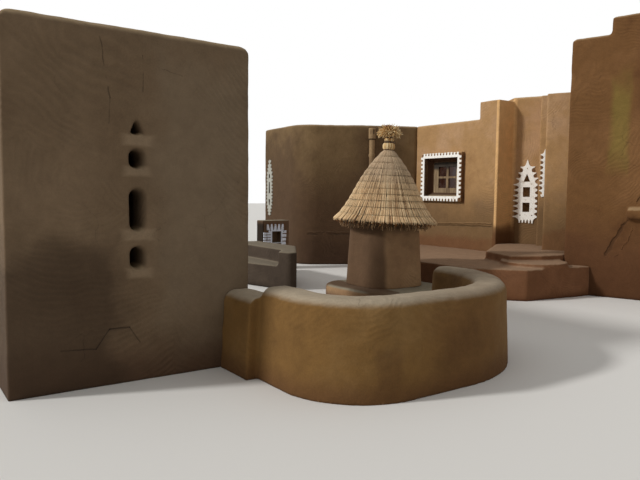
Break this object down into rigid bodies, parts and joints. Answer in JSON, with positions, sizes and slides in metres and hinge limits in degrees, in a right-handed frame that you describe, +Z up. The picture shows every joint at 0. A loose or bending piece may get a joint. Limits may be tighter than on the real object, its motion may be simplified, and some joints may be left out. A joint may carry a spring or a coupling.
{
  "type": "adobe courtyard house with thatched granary",
  "caption": "Mud-walled courtyard house: flat-roofed rooms round a low curved yard wall, with a thatched granary, a mud seat and a decorated window.",
  "frame": {"origin": "ground level under the middle of the granary's plinth", "axes": "+X along the front room's face towards the rear wing, +Y from the lawn side into the courtyard, +Z up"},
  "size_m": [13.2576, 10.289, 4.42],
  "materials": {
    "mud_plaster": "hand-smeared mud and straw plaster, matte, with hand strokes and hairline cracks",
    "ochre_plaster": "hand-smeared ochre mud plaster, matte, paler on its rounded top",
    "floor_plaster": "trodden mud and dung plaster, matte",
    "mud_relief": "raised mud relief with white lime wash, matte",
    "straw_thatch": "bundled straw tied in rows, weathered, matte",
    "weathered_timber": "old sawn timber, dark, worn",
    "window_glass": "plain window glass, dusty",
    "clay_coated_pipe": "rain pipe smeared with mud, matte"
  },
  "bodies": {
    "root": {"block_back_wall": "mud_plaster", "block_front_wall": "mud_plaster", "block_ledge": "mud_plaster", "block_left_wall": "mud_plaster", "block_right_wall": "mud_plaster", "block_roof": "mud_plaster", "corner_pier": "mud_plaster", "front_room_back_wall": "mud_plaster", "front_room_front_wall": "mud_plaster", "front_room_left_wall": "mud_plaster", "front_room_right_wall": "mud_plaster", "front_room_roof": "mud_plaster", "granary_bin": "mud_plaster", "granary_plinth": "floor_plaster", "granary_thatch": "straw_thatch", "granary_topknot": "straw_thatch", "lamp_pedestal": "mud_plaster", "low_wall_corner": "ochre_plaster", "low_wall_end": "ochre_plaster", "low_wall_front_run": "ochre_plaster", "low_wall_left_run": "ochre_plaster", "low_wall_start": "ochre_plaster", "low_wall_sweep_far": "ochre_plaster", "low_wall_sweep_middle": "ochre_plaster", "low_wall_sweep_near": "ochre_plaster", "mud_seat": "mud_plaster", "mud_seat_back": "mud_plaster", "pilaster": "mud_plaster", "platform": "floor_plaster", "rain_pipe": "clay_coated_pipe", "recess_step": "floor_plaster", "recess_wall": "mud_plaster", "round_step": "floor_plaster", "small_pier": "mud_plaster", "window_casement": "weathered_timber", "window_panes": "window_glass", "window_surround": "mud_relief", "window_wall": "mud_plaster", "wing_back_wall": "mud_plaster", "wing_front_wall": "mud_plaster", "wing_left_wall": "mud_plaster", "wing_party_wall": "mud_plaster", "wing_right_wall": "mud_plaster", "wing_roof": "mud_plaster", "wing_rounded_corner": "mud_plaster"}
  },
  "joints": []
}
